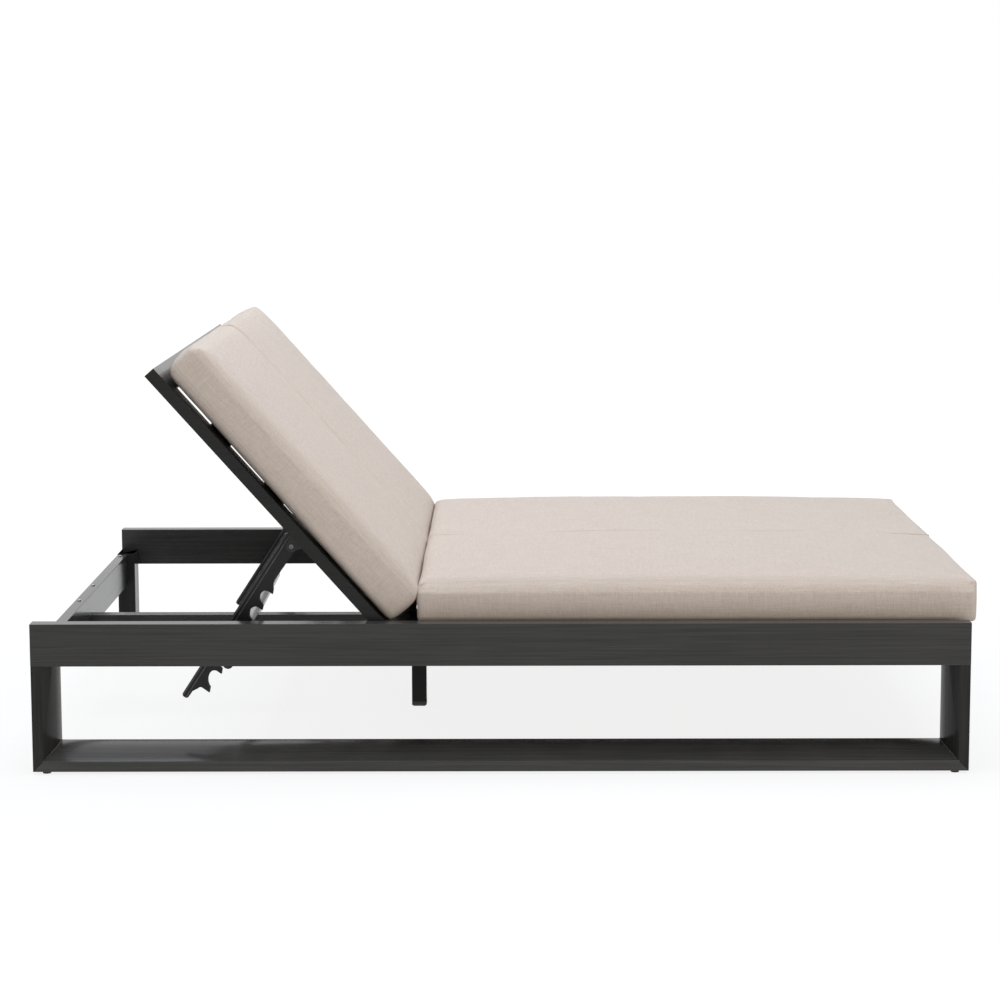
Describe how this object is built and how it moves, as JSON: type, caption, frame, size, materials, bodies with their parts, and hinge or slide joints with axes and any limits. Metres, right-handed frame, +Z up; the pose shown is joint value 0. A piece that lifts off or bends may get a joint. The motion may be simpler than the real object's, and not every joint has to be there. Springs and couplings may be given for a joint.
{
  "type": "double chaise lounger",
  "caption": "Low double lounger: wide box frame with beam legs, slatted seat, reclining slatted backrest on notched support arms and loose box cushions.",
  "frame": {"origin": "on the floor, in the middle of the lounger's box", "axes": "+X from the head end to the foot end, +Y from the near side to the far side, +Z up"},
  "size_m": [2.015, 1.41, 0.9142],
  "materials": {
    "frame_paint": "satin",
    "rod_metal": "satin",
    "steel": "satin",
    "arm_plastic": "satin",
    "black_plastic": "matte",
    "cushion_fabric": "matte"
  },
  "bodies": {
    "base": {"catch_rod": "rod_metal", "centre_beam_foot": "frame_paint", "centre_beam_head": "frame_paint", "centre_leg": "frame_paint", "centre_leg_cap": "black_plastic", "cross_rail_screws": "steel", "far_bottom_rail": "frame_paint", "far_foot_post": "frame_paint", "far_head_post": "frame_paint", "far_rod_hanger": "frame_paint", "far_seat_cushion": "cushion_fabric", "far_seat_stile": "frame_paint", "far_top_rail": "frame_paint", "foot_cross_rail": "frame_paint", "glides": "black_plastic", "hanger_screws": "steel", "head_cross_rail": "frame_paint", "hinge_cross_rail": "frame_paint", "hinge_pins": "steel", "near_bottom_rail": "frame_paint", "near_foot_post": "frame_paint", "near_head_post": "frame_paint", "near_rod_hanger": "frame_paint", "near_seat_cushion": "cushion_fabric", "near_seat_stile": "frame_paint", "near_top_rail": "frame_paint", "post_pads": "black_plastic", "rail_end_plates": "frame_paint", "rod_plugs": "black_plastic", "rod_screws": "steel", "seat_screws": "steel", "seat_slat_1": "frame_paint", "seat_slat_2": "frame_paint", "seat_slat_3": "frame_paint", "seat_slat_4": "frame_paint", "seat_slat_5": "frame_paint", "seat_slat_6": "frame_paint", "seat_slat_7": "frame_paint", "seat_slat_8": "frame_paint", "seat_spacers": "black_plastic", "seat_stile_caps": "black_plastic"},
    "backrest": {"back_slat_1": "frame_paint", "back_slat_2": "frame_paint", "back_slat_3": "frame_paint", "back_slat_4": "frame_paint", "back_slat_5": "frame_paint", "near_back_stile": "frame_paint", "far_back_stile": "frame_paint", "hinge_knuckles": "frame_paint", "back_bumpers": "black_plastic", "back_stile_caps": "black_plastic", "near_arm_bracket": "frame_paint", "far_arm_bracket": "frame_paint", "arm_bracket_screws": "steel", "arm_pivot_pins": "steel", "near_back_cushion": "cushion_fabric", "far_back_cushion": "cushion_fabric"},
    "near_arm": {"near_support_arm": "arm_plastic"},
    "far_arm": {"far_support_arm": "arm_plastic"}
  },
  "joints": [
    {"name": "backrest_recline", "type": "hinge", "parent": "base", "child": "backrest", "pos_m": [-0.2507, 0, 0.3003], "axis": [0, 1, 0], "range_deg": [-48.3, 0]},
    {"name": "near_arm_swing", "type": "hinge", "parent": "backrest", "child": "near_arm", "pos_m": [-0.45806, -0.5777, 0.47516], "axis": [0, 1, 0], "range_deg": [0, 103.1]},
    {"name": "far_arm_swing", "type": "hinge", "parent": "backrest", "child": "far_arm", "pos_m": [-0.45806, 0.5777, 0.47516], "axis": [0, 1, 0], "range_deg": [0, 103.1]}
  ],
  "couplings": [
    {"joint": "near_arm_swing", "follows": "backrest_recline", "ratio": -2.1345},
    {"joint": "far_arm_swing", "follows": "backrest_recline", "ratio": -2.1345}
  ]
}
